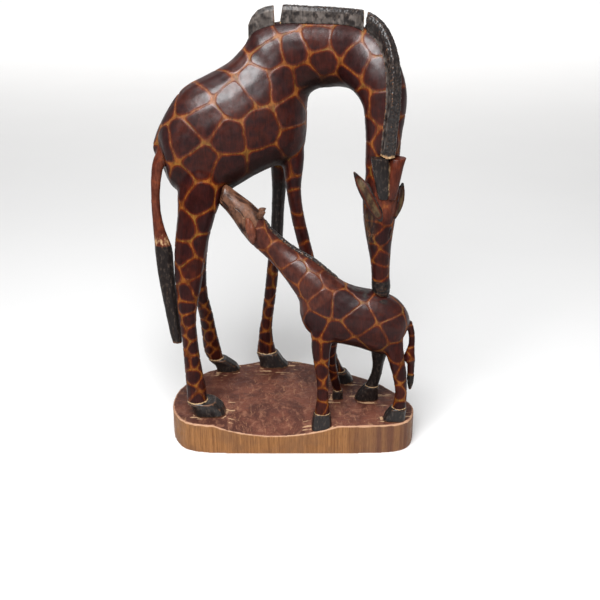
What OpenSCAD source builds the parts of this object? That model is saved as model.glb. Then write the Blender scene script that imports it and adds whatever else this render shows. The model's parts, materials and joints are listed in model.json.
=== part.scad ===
// Carved giraffe group: a mother bends her neck down over her nursing calf,
// and both stand on a low plinth with a sawn front and a rounded back.
// The real thing is one log. It is divided here along its carved features.
// Millimetres, +Z up. The mother faces +X and the sawn front faces -Y.
// The origin is the centre of the plinth's flat underside.

/* [Plinth] */
// Thickness of the plinth under the hooves
plinth_h = 23; // [18:1:28]
// Depth of the hollow carved into the front edge of the plinth's top
scoop_depth = 10; // [5:0.5:11]

/* [Mother] */
// Fullness of the mother's torso from side to side
torso_fullness = 1.0; // [0.85:0.05:1.1]
// Thickness of the mother's legs
leg_fullness = 1.0; // [0.9:0.05:1.15]
// Height of the mane above the neck
mane_h = 9.5; // [6:0.5:11]
// Width of the mane ridge
mane_w = 8; // [5:0.5:9]

/* [Calf] */
// Fullness of the calf's torso from side to side
calf_fullness = 1.0; // [0.85:0.05:1.1]
// Thickness of the calf's legs
calf_leg_fullness = 1.0; // [0.9:0.05:1.15]

/* [Smoothness] */
// Sides of a ring round a torso, neck or head
body_sides = 20; // [12:4:24]
// Sides of a ring round a leg, ear, horn or tail
limb_sides = 12; // [8:4:16]
// Rings made between one station and the next
steps = 2; // [2:1:3]

/* [Hidden] */

top = plinth_h;

// Stain colours
patch_brown = "#4a2018";
hoof_black = "#1d1817";
mane_black = "#26211f";
sawn_wood = "#b07a3c";
calf_brown = "#5a2a1a";

// ---------------------------------------------------------------- curves

// One point of a Catmull-Rom curve from p1 to p2, with u from 0 to 1
function blend(p0, p1, p2, p3, u) =
  0.5 * (2 * p1 + (p2 - p0) * u + (2 * p0 - 5 * p1 + 4 * p2 - p3) * u * u
    + (3 * p1 - p0 - 3 * p2 + p3) * u * u * u);

// A list of stations, smoothed, with n gaps for each gap between two old ones
function smooth(list, n) = [
  for (i = [0 : len(list) - 2], k = [0 : n - 1])
    blend(list[max(i - 1, 0)], list[i], list[i + 1], list[min(i + 2, len(list) - 1)], k / n),
  list[len(list) - 1]
];

// A closed outline, smoothed in the same way
function smooth_loop(list, n) =
  let (c = len(list))
  [
    for (i = [0 : c - 1], k = [0 : n - 1])
      blend(list[(i + c - 1) % c], list[i], list[(i + 1) % c], list[(i + 2) % c], k / n)
  ];

function unit(v) = v / norm(v);

// Items of a list from the first index to the last
function items(list, first, last) = [for (i = [first : last]) list[i]];

// ---------------------------------------------------------------- lofts

// A closed solid through rings with the same number of points each.
// The points wind anticlockwise about the way that the rings advance.
module loft(rings) {
  count = len(rings);
  sides = len(rings[0]);
  points = [for (ring = rings) each ring];
  walls = [
    for (i = [0 : count - 2], j = [0 : sides - 1])
      let (a = i * sides + j, b = i * sides + (j + 1) % sides)
      each [[a, b + sides, b], [a, a + sides, b + sides]]
  ];
  start = [for (j = [0 : sides - 1]) j];
  finish = [for (j = [sides - 1 : -1 : 0]) (count - 1) * sides + j];
  polyhedron(points, [start, each walls, finish]);
}

// A body station is
// [back x, back z, belly x, belly z, middle y, half width, mane turn, mane height].
// Heights are above the plinth's top. The ring stands square to the way the body runs.
// The mane turn is the angle from the back towards the near side, and the mane height
// is a share of mane_h. Below 0 the mane's crown is under the skin.
function middle_of(s) = [(s[0] + s[2]) / 2, s[4], (s[1] + s[3]) / 2 + top];
function rise_of(s) = [(s[0] - s[2]) / 2, 0, (s[1] - s[3]) / 2];
function run_of(list, i) =
  unit(middle_of(list[min(i + 1, len(list) - 1)]) - middle_of(list[max(i - 1, 0)]));
function near_of(list, i) = unit(cross(run_of(list, i), rise_of(list[i])));

function body_rings(list) = [
  for (i = [0 : len(list) - 1])
    let (s = list[i], near = near_of(list, i))
    [
      for (j = [0 : body_sides - 1])
        let (a = 360 * j / body_sides)
        middle_of(s) + rise_of(s) * cos(a) + near * s[5] * sin(a)
    ]
];

// Body stations with a torso that is fuller between the rings first and last
function fill_out(list, fullness, first, last) = [
  for (i = [0 : len(list) - 1])
    let (s = list[i], inside = i > first && i < last)
    inside ? [
      s[0], s[1], s[2], s[3], s[4],
      s[5] * (1 + (fullness - 1) * sin(180 * (i - first) / (last - first))),
      s[6], s[7]
    ] : s
];

// The same ring pressed flat at a height above the plinth
function flat_ring(ring, height) = [for (p = ring) [p[0], p[1], height + top]];

// A limb station is [x, y, z, half length along X, half width along Y]
function limb_ring(s) = [
  for (j = [0 : limb_sides - 1])
    let (a = 360 * j / limb_sides)
    [s[0] + s[3] * cos(a), s[1] + s[4] * sin(a), s[2] + top]
];

// The same for a head, which is built from its crown down
function drop_ring(s) = [
  for (j = [0 : body_sides - 1])
    let (a = 360 * j / body_sides)
    [s[0] + s[3] * cos(a), s[1] - s[4] * sin(a), s[2] + top]
];

// A limb goes from the ground up
module limb(stations, fullness = 1) {
  loft([
    for (s = smooth(stations, steps))
      limb_ring([s[0], s[1], s[2], s[3] * fullness, s[4] * fullness])
  ]);
}

// A hoof is a block with rounded upright edges, wider at the ground. The lower the
// squareness, the squarer its plan.
squareness = 0.6;

module hoof(stations) {
  color(hoof_black)
    loft([
      for (s = stations)
        [
          for (j = [0 : limb_sides - 1])
            let (a = 360 * (j + 0.5) / limb_sides, c = cos(a), d = sin(a))
            [
              s[0] + s[3] * sign(c) * pow(abs(c), squareness),
              s[1] + s[4] * sign(d) * pow(abs(d), squareness),
              s[2] + top
            ]
        ]
    ]);
}

// A mane ridge along smoothed body stations. Each ring is a tall eight-sided block:
// its foot is sunk into the neck and its crown stands above the skin. A ring whose crown
// is under the skin stays convex. The ridge widens as it turns to the near side.
module mane(list, width, height) {
  sunk = 3;
  loft([
    for (i = [0 : len(list) - 1])
      let (
        s = list[i],
        near = near_of(list, i),
        turn = s[6],
        skin = middle_of(s) + rise_of(s) * cos(turn) + near * s[5] * sin(turn),
        out = unit(unit(rise_of(s)) * cos(turn) + near * sin(turn)),
        side = unit(cross(run_of(list, i), out)),
        h = height * s[7],
        shoulder_h = h - abs(h) * 0.25,
        flank_h = min(0, h - abs(h) * 0.5),
        w = width * (1 + 0.3 * sin(turn)) / 2
      )
      [
        skin + out * h - side * w * 0.45,
        skin + out * h + side * w * 0.45,
        skin + out * shoulder_h + side * w * 0.85,
        skin + out * flank_h + side * w,
        skin - out * sunk + side * w * 0.8,
        skin - out * sunk - side * w * 0.8,
        skin + out * flank_h - side * w,
        skin + out * shoulder_h - side * w * 0.85
      ]
  ]);
}

// ---------------------------------------------------------------- plinth

plinth_points = [
  [88, -28], [85, -39], [78, -46], [64, -49], [30, -50], [0, -50], [-30, -50], [-60, -49],
  [-76, -44.5], [-84, -34], [-87.5, -22], [-87, -5], [-81, 11], [-66, 30.5], [-42, 41],
  [-12, 49.5], [18, 41], [44, 26.5], [67, 10], [83, -12], [87.5, -21]
];

// The hollow is part of a large ball that is sunk into the front edge
scoop_middle = [-12, -72];
scoop_r = 131;

module plinth_body() {
  difference() {
    linear_extrude(height = plinth_h) polygon(smooth_loop(plinth_points, 2));
    translate([scoop_middle[0], scoop_middle[1], top + scoop_r - scoop_depth])
      sphere(r = scoop_r, $fn = 120);
  }
}

module plinth() {
  color(sawn_wood) plinth_body();
}

// ---------------------------------------------------------------- mother

// From the tail end along the back and the bent neck to the crown of the head
spine = [
  [-92, 190, -87.5, 180, 1, 4, 0, 0],
  [-90, 199.5, -86, 168, 2, 12, 0, 0],
  [-83, 213, -79, 157, 3, 18.5, 0, 0],
  [-72, 227.5, -62, 150, 5, 22.5, 0, 0],
  [-60, 234, -44, 156, 7, 24.5, 0, 0],
  [-49, 239, -28, 165, 10, 25, 0, 0],
  [-40, 244, -13, 171, 14, 24, 0, 0],
  [-33, 251, 1, 173, 17, 22.5, 0, 0],
  [-29.5, 256, 9, 186, 19, 20.5, 0, -0.15],
  [-26, 262, 10.5, 205, 19.5, 18, 0, 0.5],
  [-17.5, 266, 10.5, 214, 19, 16.5, 0, 1.1],
  [-8, 268.5, 12.5, 221, 17, 15, 0, 1.15],
  [3, 269.5, 19, 225.5, 14, 14, 0, 1.1],
  [14, 270, 26, 227, 10, 13.5, 0, 1],
  [26, 270.5, 32, 228.5, 5, 13, 0, 0.95],
  [38, 270.5, 37, 229, -1, 12.5, 2, 0.95],
  [47, 269, 40, 229, -7, 12.5, 6, 1.05],
  [56.5, 264.5, 42.7, 227, -12, 12.5, 16, 1.05],
  [64.5, 256, 44.8, 223.8, -16, 12.5, 34, 1],
  [70, 245, 46.3, 219.5, -18.5, 12.5, 54, 0.85],
  [73.5, 233, 47, 214, -20.5, 12, 70, 0.65],
  [73.8, 221, 47.6, 207, -21.5, 11.5, 77, 0.55],
  [72, 208, 48, 200, -22.5, 11, 79, 0.5],
  [71, 197, 48, 193, -23, 10.5, 80, 0.5],
  [70.5, 186, 48, 186, -23.5, 10.5, 80, 0.5]
];
// The neck starts at this ring, in front of the withers
shoulder = 9 * steps;
spine_line = fill_out(smooth(spine, steps), torso_fullness, 0, shoulder);
spine_rings = body_rings(spine_line);
spine_end = len(spine_rings) - 1;
crown_height = 186;
crown_ring = flat_ring(spine_rings[spine_end], crown_height);

// The head hangs down from the crown to the muzzle, which rests on the calf's back
head = [
  [59.4, -24, 180, 11, 11],
  [59.4, -24.5, 172, 11.4, 11.6],
  [59, -25, 162, 12, 12],
  [58.5, -25.3, 151, 11.2, 11.5],
  [58.5, -25.5, 140, 9.8, 10.5],
  [59, -25.5, 129, 8.2, 9],
  [60, -25.5, 117, 6.8, 7.6],
  [60.6, -25.5, 106, 6.2, 7],
  [61.2, -25.5, 98, 6.6, 7.4],
  [61.3, -25.5, 92, 5.8, 6.4],
  [61.3, -25.5, 89, 4, 4.5]
];

module mother_torso_body() {
  loft(items(spine_rings, 0, shoulder));
}

module mother_neck_body() {
  loft([each items(spine_rings, shoulder, spine_end - 1), crown_ring]);
}

// Torso and neck as one, for the mane that runs along both
module mother_back_body() {
  loft([each items(spine_rings, 0, spine_end - 1), crown_ring]);
}

module mother_head_body() {
  loft([crown_ring, for (s = smooth(head, steps)) drop_ring(s)]);
}

module mother_torso() {
  color(patch_brown) mother_torso_body();
}

module mother_neck() {
  color(patch_brown) mother_neck_body();
}

module mother_head() {
  color(patch_brown)
    difference() {
      mother_head_body();
      calf_torso_body();
    }
}

// The ears lie back along the neck, with their tips up
left_ear = [
  [58.5, -36, 149, 1.5, 1.4],
  [56, -36.4, 155, 4.2, 2.4],
  [51.8, -35, 163.5, 5.6, 2.6],
  [46.4, -32, 172.5, 4.6, 2.2],
  [40.5, -29.5, 181, 0.6, 0.6]
];
right_ear = [
  [67.5, -31, 149, 1.6, 1.4],
  [69.5, -30, 155, 3, 2.4],
  [71, -28, 161, 3.4, 2.8],
  [72.2, -25.5, 167, 2.4, 2.2],
  [73.2, -23.5, 171.5, 0.6, 0.8]
];

module mother_ear(stations) {
  color(patch_brown)
    difference() {
      limb(stations);
      mother_head_body();
      mother_neck_body();
    }
}

module mother_left_ear() {
  mother_ear(left_ear);
}

module mother_right_ear() {
  mother_ear(right_ear);
}

// Two short horns stand side by side on the forehead and flare to flat tips. The left
// one reaches up to the height at which the mane ends.
mane_foot = 192;
left_horn = [
  [59.8, -36, 164, 3.2, 1.6],
  [59.2, -36.5, 171, 4.4, 2.8],
  [58.4, -36.5, 178, 5, 3.6],
  [57.4, -36, 186, 5.6, 4.4],
  [56.5, -35, mane_foot, 5.8, 4.8]
];
right_horn = [
  [64.6, -35.5, 164, 3.2, 1.6],
  [65.2, -35.5, 171, 4.2, 3],
  [66, -35, 178, 4.8, 3.8],
  [67.2, -33.8, 186, 5.2, 4.6],
  [68.3, -32, 191, 5.8, 4.8]
];

module mother_left_horn() {
  color(hoof_black)
    difference() {
      limb(left_horn);
      mother_head_body();
      mother_neck_body();
    }
}

module mother_right_horn() {
  color(patch_brown)
    difference() {
      limb(right_horn);
      limb(left_horn);
      mother_head_body();
      mother_neck_body();
    }
}

// One mane runs from the withers to the crown, and two notches cut it into three
// lengths. Each length is the mane inside an upright zone, drawn in the XZ plane
// with heights above the plinth's top.
mane_start = 8 * steps;
mane_end = spine_end - 1;
zone_depth = 200;
withers_zone = [[-60, 230], [-11, 230], [-11, 262], [-12.5, 300], [-60, 300]];
crest_zone = [[-9.5, 258], [44.5, 258], [45.5, 268], [46.5, 300], [-2, 300]];
neck_zone = [[46.5, mane_foot], [100, mane_foot], [100, 300], [52, 300], [46.5, 268]];

module mane_length(zone) {
  color(mane_black)
    difference() {
      intersection() {
        mane(items(spine_line, mane_start, mane_end), mane_w, mane_h);
        translate([0, zone_depth / 2, top])
          rotate([90, 0, 0])
            linear_extrude(height = zone_depth)
              polygon(zone);
      }
      mother_back_body();
    }
}

module withers_mane() {
  mane_length(withers_zone);
}

module crest_mane() {
  mane_length(crest_zone);
}

module neck_mane() {
  mane_length(neck_zone);
}

// Stations of the mother's legs, from the hoof up into the torso
near_hind_leg = [
  [-68.4, -32, 11, 7.2, 6.6],
  [-68.8, -31, 23, 7, 6.4],
  [-70.7, -29, 40, 6, 5.8],
  [-71.9, -27, 57, 5.6, 5.8],
  [-73.2, -24, 75, 6.3, 6.6],
  [-72, -21, 93, 8.7, 8.4],
  [-70.6, -18, 112, 10.7, 10],
  [-68.4, -15, 128, 11.7, 11.4],
  [-64.8, -12, 145, 13.2, 13],
  [-62.3, -8, 158, 15.6, 14.5],
  [-61.5, -3, 174, 15, 15],
  [-61, 1, 188, 11, 12]
];
far_hind_leg = [
  [-60, 32.5, 11, 5.9, 5.6],
  [-62, 32, 18, 6.8, 5.8],
  [-63.8, 30.5, 33, 5.9, 5.2],
  [-65.6, 29, 50, 5.3, 5],
  [-68.4, 27, 67, 5.2, 5.2],
  [-69.2, 25, 88, 5.7, 6.2],
  [-67.4, 23, 112, 6.8, 8],
  [-65.2, 21, 133, 9, 10],
  [-62.9, 18, 152, 13, 12.5],
  [-61, 13, 172, 13, 13],
  [-60, 10, 184, 9, 10]
];
near_fore_leg = [
  [35, 16, 9, 4.6, 4.8],
  [32.4, 16, 14, 4, 4.6],
  [27.5, 16, 30, 4.1, 4.6],
  [22, 15.5, 55, 4.5, 4.8],
  [15, 15, 85, 4.7, 4.8],
  [9.3, 15, 110, 4.8, 4.8],
  [5, 15, 128, 4.8, 4.8],
  [2.2, 14.5, 144, 4.9, 5.2],
  [0.8, 14, 158, 5.6, 6.2],
  [0.8, 14, 170, 7.2, 8],
  [0, 15, 184, 8.5, 9],
  [-1, 16, 194, 6, 7]
];
far_fore_leg = [
  [-20.6, 41.4, 12, 7.6, 6],
  [-21.2, 41.5, 21, 6, 5.2],
  [-20.9, 41.5, 32, 5, 4.8],
  [-19.4, 41, 44, 4.4, 4.6],
  [-16.6, 40.5, 67, 4.6, 4.6],
  [-14, 40, 91, 4.5, 4.6],
  [-12, 39, 106, 4.8, 4.8],
  [-10.7, 38, 130, 4.7, 4.8],
  [-9.7, 35.5, 146, 5.1, 5.2],
  [-8.9, 32, 162, 6.4, 6.4],
  [-8, 27, 180, 8, 8],
  [-7, 24, 192, 6, 6]
];

module mother_leg(stations) {
  color(patch_brown)
    difference() {
      limb(stations, leg_fullness);
      mother_torso_body();
    }
}

module mother_near_hind_leg() {
  mother_leg(near_hind_leg);
}

module mother_far_hind_leg() {
  mother_leg(far_hind_leg);
}

module mother_near_fore_leg() {
  mother_leg(near_fore_leg);
}

module mother_far_fore_leg() {
  mother_leg(far_fore_leg);
}

module mother_near_hind_hoof() {
  hoof([
    [-59.2, -30.5, 0, 11.2, 9],
    [-60.5, -30.8, 6, 10.8, 8.8],
    [-65.5, -31.5, 11, 10.5, 8.4]
  ]);
}

module mother_far_hind_hoof() {
  hoof([
    [-50, 33.5, 0, 9, 6.2],
    [-52, 33.3, 5, 8.4, 6],
    [-59, 32.6, 11, 7, 6.2]
  ]);
}

module mother_near_fore_hoof() {
  hoof([
    [39.6, 15.8, 0, 7, 6.4],
    [38, 15.9, 4, 6.4, 6],
    [35.2, 16, 9, 5.6, 5.8]
  ]);
}

module mother_far_fore_hoof() {
  hoof([
    [-14.5, 40.6, 0, 11.5, 7],
    [-17, 41, 5, 9.4, 6.8],
    [-20.3, 41.4, 12, 8.3, 6.6]
  ]);
}

// The tail hangs clear of the thigh, and its tuft lies against the shank
tail_line = [
  [-81.5, -21, 51.5, 3.4, 2.6],
  [-82.8, -19.5, 60, 4.2, 3.4],
  [-85.6, -16, 83, 5.2, 4.8],
  [-88, -12, 102, 5.8, 5],
  [-88.8, -10, 116, 6.2, 4.8],
  [-89.2, -10, 122, 5.8, 4.4],
  [-91.4, -8, 132, 4.2, 3.6],
  [-92.9, -7, 146, 3.1, 3],
  [-92.7, -6, 160, 3.2, 3],
  [-91.2, -4, 173, 3.8, 3.4],
  [-88.5, -2, 182, 4.6, 4.2],
  [-85, 0, 190, 4, 4]
];
tuft_stations = 5;

module mother_tail() {
  color(patch_brown)
    difference() {
      limb(items(tail_line, tuft_stations, len(tail_line) - 1));
      mother_torso_body();
      limb(near_hind_leg, leg_fullness);
    }
}

module mother_tail_tuft() {
  color(mane_black)
    difference() {
      limb(items(tail_line, 0, tuft_stations));
      limb(near_hind_leg, leg_fullness);
    }
}

// ---------------------------------------------------------------- calf

// From the muzzle along the stretched neck and the back to the rump
calf_spine = [
  [-47, 163, -49.2, 155.5, -10, 3.2, 0, 0],
  [-44.3, 165.5, -49, 152, -10, 6, 0, 0],
  [-38.5, 161.3, -45.5, 148.5, -10.5, 7, 0, 0],
  [-33, 157.3, -40.3, 142, -11.5, 8, 0, 0],
  [-27, 153, -34.3, 133, -13, 8.5, 0, 0],
  [-20.5, 146.5, -28.2, 125.5, -15, 8.2, 0, 0.3],
  [-15.2, 137, -20.4, 118.5, -16, 8, 0, 0.8],
  [-6.5, 128.5, -13.4, 111.5, -17, 8, 0, 1],
  [2.5, 122, -6, 103, -19, 9, 0, 1],
  [14.5, 116, 0, 95, -22, 10.5, 0, 1],
  [26, 107.5, 5, 86.5, -24.5, 12.5, 0, 0.8],
  [36, 100.5, 5.4, 77, -25.5, 14.5, 0, 0.3],
  [45.5, 96.6, 9.5, 65.5, -26, 16, 0, 0],
  [53, 95, 20, 57.5, -26, 17, 0, 0],
  [60.5, 93.5, 34, 55, -26, 17, 0, 0],
  [67.5, 91, 46, 52, -26, 17, 0, 0],
  [73.5, 87.3, 57, 48, -26, 16.5, 0, 0],
  [78.6, 81.5, 66, 46, -26, 14.5, 0, 0],
  [81.6, 75, 73, 52, -26, 9.5, 0, 0],
  [82.2, 70.5, 77.3, 59, -26, 4.5, 0, 0]
];
calf_nape = 5 * steps;
calf_shoulder = 11 * steps;
calf_end = (len(calf_spine) - 1) * steps;
calf_line = fill_out(smooth(calf_spine, steps), calf_fullness, calf_shoulder, calf_end);
calf_rings = body_rings(calf_line);

module calf_torso_body() {
  loft(items(calf_rings, calf_shoulder, calf_end));
}

module calf_neck_body() {
  loft(items(calf_rings, calf_nape, calf_shoulder));
}

module calf_head_body() {
  loft(items(calf_rings, 0, calf_nape));
}

// Head and neck as one, for the ears and horns that stand across the nape
module calf_front_body() {
  loft(items(calf_rings, 0, calf_shoulder));
}

module calf_torso() {
  color(patch_brown) calf_torso_body();
}

module calf_neck() {
  color(patch_brown) calf_neck_body();
}

module calf_head() {
  color(calf_brown)
    difference() {
      calf_head_body();
      mother_torso_body();
      limb(near_hind_leg, leg_fullness);
    }
}

// The ears hang beside the nape, one on each side of the head
calf_ear_line = [
  [-26.5, -24.4, 128.5, 0.8, 0.8],
  [-26.8, -24.8, 133.5, 3, 1.8],
  [-28, -24.2, 140, 3.4, 2.4],
  [-29.5, -22, 146, 1.6, 1.6]
];
calf_head_middle = -14.3;

module calf_ear(stations) {
  color(calf_brown)
    difference() {
      limb(stations);
      calf_front_body();
    }
}

module calf_near_ear() {
  calf_ear(calf_ear_line);
}

module calf_far_ear() {
  calf_ear([for (s = calf_ear_line) [s[0], 2 * calf_head_middle - s[1], s[2], s[3], s[4]]]);
}

// Two nubs lean back from the crown
calf_horn_line = [
  [-26, -17.6, 140.5, 3.2, 2.8],
  [-22.5, -17.8, 145.5, 3.4, 2.9],
  [-19.8, -18, 149, 2.4, 2.2]
];

module calf_horn(stations) {
  difference() {
    limb(stations);
    calf_front_body();
  }
}

module calf_horns() {
  color(calf_brown) {
    calf_horn(calf_horn_line);
    calf_horn([for (s = calf_horn_line) [s[0], 2 * calf_head_middle - s[1], s[2], s[3], s[4]]]);
  }
}

calf_mane_w = 4.5;
calf_mane_h = 1.3;

module calf_mane() {
  color(mane_black)
    difference() {
      mane(items(calf_line, calf_nape + 1, calf_shoulder - 1), calf_mane_w, calf_mane_h);
      calf_neck_body();
    }
}

// Stations of the calf's legs, from the hoof up into the torso
calf_near_hind_line = [
  [75.9, -40, 10, 4.9, 4.4],
  [77, -39, 22, 4.2, 4],
  [75.2, -38, 36, 5.2, 4.8],
  [72.9, -36, 46, 6, 6],
  [70.2, -33.5, 57, 7.4, 7.5],
  [68.5, -31, 68, 8.4, 8.5],
  [67, -29, 78, 6, 7]
];
calf_far_hind_line = [
  [58.3, -12, 12, 4.8, 4.4],
  [61.3, -14, 23, 4, 4],
  [62.1, -16, 33, 4.2, 4.4],
  [62.6, -18.5, 45, 6.4, 6],
  [64, -21, 58, 8, 7.5],
  [65, -23, 70, 7, 7]
];
calf_near_fore_line = [
  [21.2, -44.5, 8, 5.6, 4.4],
  [21.5, -44, 19, 4.2, 3.8],
  [21.5, -42.5, 30, 4.2, 3.8],
  [20.8, -40, 40, 5, 4.4],
  [20.2, -37, 52, 6.4, 5.6],
  [20.6, -34.5, 60, 7.4, 7],
  [22, -32, 71, 9, 8],
  [25, -30, 81, 6, 6]
];
calf_far_fore_line = [
  [33.3, -10, 7, 3.1, 3.5],
  [31.2, -11, 15.5, 3.5, 3.6],
  [28.8, -14, 30, 3.2, 3.6],
  [27.8, -17, 43.5, 4, 4.6],
  [27.6, -20, 58, 6, 6.4],
  [28.5, -22, 72, 6, 6.4]
];

module calf_leg(stations) {
  color(patch_brown)
    difference() {
      limb(stations, calf_leg_fullness);
      calf_torso_body();
    }
}

module calf_near_hind_leg() {
  calf_leg(calf_near_hind_line);
}

module calf_far_hind_leg() {
  calf_leg(calf_far_hind_line);
}

module calf_near_fore_leg() {
  calf_leg(calf_near_fore_line);
}

module calf_far_fore_leg() {
  calf_leg(calf_far_fore_line);
}

module calf_near_hind_hoof() {
  hoof([
    [72.5, -40, 0, 8, 5.4],
    [73.5, -40, 5, 7.2, 5.2],
    [75.6, -40, 10, 5.6, 5]
  ]);
}

module calf_far_hind_hoof() {
  hoof([
    [54.5, -10.8, 0, 8.8, 5.2],
    [55.8, -11.2, 6, 7.4, 5],
    [58.2, -12, 12, 5.4, 4.9]
  ]);
}

// This hoof runs down into the hollow at the plinth's front edge
module calf_near_fore_hoof() {
  difference() {
    hoof([
      [20.8, -44.8, -6, 7.2, 5],
      [20.9, -44.7, 2, 6.9, 4.9],
      [21.2, -44.5, 8, 6.1, 4.7]
    ]);
    plinth_body();
  }
}

module calf_far_fore_hoof() {
  hoof([
    [33.4, -10, 0, 4, 4.4],
    [33.4, -10, 7, 3.6, 4]
  ]);
}

// The tail leaves the rump, bridges to the near leg's hock and ends in a small tuft
calf_tail_line = [
  [84, -31.5, 32, 2.6, 2.6],
  [83.9, -30.8, 40, 2.7, 2.7],
  [82.4, -31.8, 44, 4.4, 3.2],
  [82.7, -30.8, 48, 3.6, 2.8],
  [84, -28.8, 55, 2.2, 2.2],
  [83.6, -27, 63, 2.4, 2.4],
  [81, -26, 71, 2.8, 2.8]
];
calf_tuft_line = [
  [83.8, -33, 20.5, 0.8, 0.8],
  [84, -32.4, 25, 2.2, 2.2],
  [84, -31.5, 32, 2.8, 2.8]
];

module calf_tail() {
  color(patch_brown)
    difference() {
      limb(calf_tail_line);
      calf_torso_body();
      limb(calf_near_hind_line, calf_leg_fullness);
    }
}

module calf_tail_tuft() {
  color(mane_black)
    difference() {
      limb(calf_tuft_line);
      limb(calf_near_hind_line, calf_leg_fullness);
    }
}

plinth();
mother_torso();
mother_neck();
mother_head();
mother_left_ear();
mother_right_ear();
mother_left_horn();
mother_right_horn();
withers_mane();
crest_mane();
neck_mane();
mother_near_hind_leg();
mother_far_hind_leg();
mother_near_fore_leg();
mother_far_fore_leg();
mother_near_hind_hoof();
mother_far_hind_hoof();
mother_near_fore_hoof();
mother_far_fore_hoof();
mother_tail();
mother_tail_tuft();
calf_torso();
calf_neck();
calf_head();
calf_near_ear();
calf_far_ear();
calf_horns();
calf_mane();
calf_near_hind_leg();
calf_far_hind_leg();
calf_near_fore_leg();
calf_far_fore_leg();
calf_near_hind_hoof();
calf_far_hind_hoof();
calf_near_fore_hoof();
calf_far_fore_hoof();
calf_tail();
calf_tail_tuft();
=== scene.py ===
"""Looks of the carved giraffe group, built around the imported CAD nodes.

Each animal's nodes are taken together, given one continuous carved skin, and that skin is
cut again into one closed piece for each node. Lengths are millimetres until a mesh is made,
and heights are measured from the plinth's top.
"""

import json
import math

import bpy
import numpy as np
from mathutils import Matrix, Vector, kdtree
from mathutils.bvhtree import BVHTree


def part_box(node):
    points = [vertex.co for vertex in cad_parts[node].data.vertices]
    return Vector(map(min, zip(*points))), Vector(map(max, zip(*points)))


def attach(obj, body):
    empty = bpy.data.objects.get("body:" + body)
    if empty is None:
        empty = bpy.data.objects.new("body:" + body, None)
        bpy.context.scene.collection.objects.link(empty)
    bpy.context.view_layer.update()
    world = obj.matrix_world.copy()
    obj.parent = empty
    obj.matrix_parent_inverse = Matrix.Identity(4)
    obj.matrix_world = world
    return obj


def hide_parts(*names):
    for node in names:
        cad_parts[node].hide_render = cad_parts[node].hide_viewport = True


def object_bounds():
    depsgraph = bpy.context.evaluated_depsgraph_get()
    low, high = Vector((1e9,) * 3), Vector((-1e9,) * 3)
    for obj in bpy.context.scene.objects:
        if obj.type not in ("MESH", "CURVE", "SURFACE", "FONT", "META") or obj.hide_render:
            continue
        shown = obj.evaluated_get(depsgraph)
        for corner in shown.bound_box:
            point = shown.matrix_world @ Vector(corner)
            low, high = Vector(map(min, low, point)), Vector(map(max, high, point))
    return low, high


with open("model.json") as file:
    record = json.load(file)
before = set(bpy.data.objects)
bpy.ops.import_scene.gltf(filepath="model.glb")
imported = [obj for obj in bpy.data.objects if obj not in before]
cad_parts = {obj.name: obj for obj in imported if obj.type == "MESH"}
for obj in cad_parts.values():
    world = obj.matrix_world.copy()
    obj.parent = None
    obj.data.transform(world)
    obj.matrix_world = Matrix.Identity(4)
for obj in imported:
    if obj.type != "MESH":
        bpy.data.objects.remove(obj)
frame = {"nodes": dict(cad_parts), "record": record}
cad_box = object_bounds()

MM = 0.001
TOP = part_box("plinth")[1].z / MM
# Trial renders use bigger quads
COARSE = 1.0
# Size of a skin's quads
MOTHER_VOXEL = 0.6
CALF_VOXEL = 0.45
PLINTH_VOXEL = 0.7
MANE_VOXEL = 0.4
SMALL_VOXEL = 0.35
# Share of the way to its neighbours that a vertex moves in one pass of a blur
BLUR = 0.8
# How many values the noise picks from (a power of 2), and how a cell picks one
NOISE_VALUES = 8192
CELL_KEYS = np.array([73856093, 19349663, 83492791])
# How many places are tried for patches
PATCH_TRIES = 9000


# ------------------------------------------------------------------ small helpers


def at(x, y, z):
    """A point in mm, from a height above the plinth's top."""
    return np.array([x, y, z + TOP], float)


def step(low, high, x):
    """0 below low, 1 above high, and smooth between."""
    t = np.clip((x - low) / (high - low), 0, 1)
    return t * t * (3 - 2 * t)


def lattice_noise(p, size, seed):
    """Smooth noise from -1 to 1 at points p, with bumps of about that size (one or three numbers)."""
    table = np.random.default_rng(seed).uniform(-1, 1, NOISE_VALUES)
    q = p / np.asarray(size, float)
    cell = np.floor(q).astype(np.int64)
    f = q - cell
    f = f * f * (3 - 2 * f)
    total = np.zeros(len(p))
    for corner in range(8):
        bits = np.array([corner & 1, corner >> 1 & 1, corner >> 2 & 1])
        keys = (cell + bits) * CELL_KEYS
        key = keys[:, 0] ^ keys[:, 1] ^ keys[:, 2]
        weight = np.prod(np.where(bits, f, 1 - f), axis=1)
        total += weight * table[key & (NOISE_VALUES - 1)]
    return total


def rough_noise(p, size, seed, octaves=3):
    """Noise with finer noise on top of it."""
    parts = [lattice_noise(p, np.asarray(size, float) / 2**k, seed + k) / 2**k for k in range(octaves)]
    return sum(parts) / 1.6


def line_gap(p, points):
    """Distance from each point of p to the nearest place on a line through the points."""
    gap = np.full(len(p), 1e9)
    for a, b in zip(points[:-1], points[1:]):
        t = np.clip(((p - a) @ (b - a)) / max((b - a) @ (b - a), 1e-9), 0, 1)
        gap = np.minimum(gap, np.linalg.norm(p - a - t[:, None] * (b - a), axis=1))
    return gap


def hollow(gap, width):
    """1 on a line, falling to 0 at about its width."""
    return np.exp(-((gap / width) ** 2))


def turned(p, direction):
    """The points in axes whose third runs along a direction."""
    c = np.asarray(direction, float) / np.linalg.norm(direction)
    a = np.cross(c, [0, 1, 0.3])
    a /= np.linalg.norm(a)
    return np.stack([p @ a, p @ np.cross(c, a), p @ c], axis=1)


def eye(p, centre, along, across, length, width):
    """How far points are round an almond eye: 0 at its middle and 1 at its rim."""
    along, across = [np.asarray(a, float) / np.linalg.norm(a) for a in (along, across)]
    d = p - centre
    u, v = d @ along / length, d @ across / width
    w = d @ np.cross(along, across) / length
    return np.sqrt(u**2 + v**2 + w**2)


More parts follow.
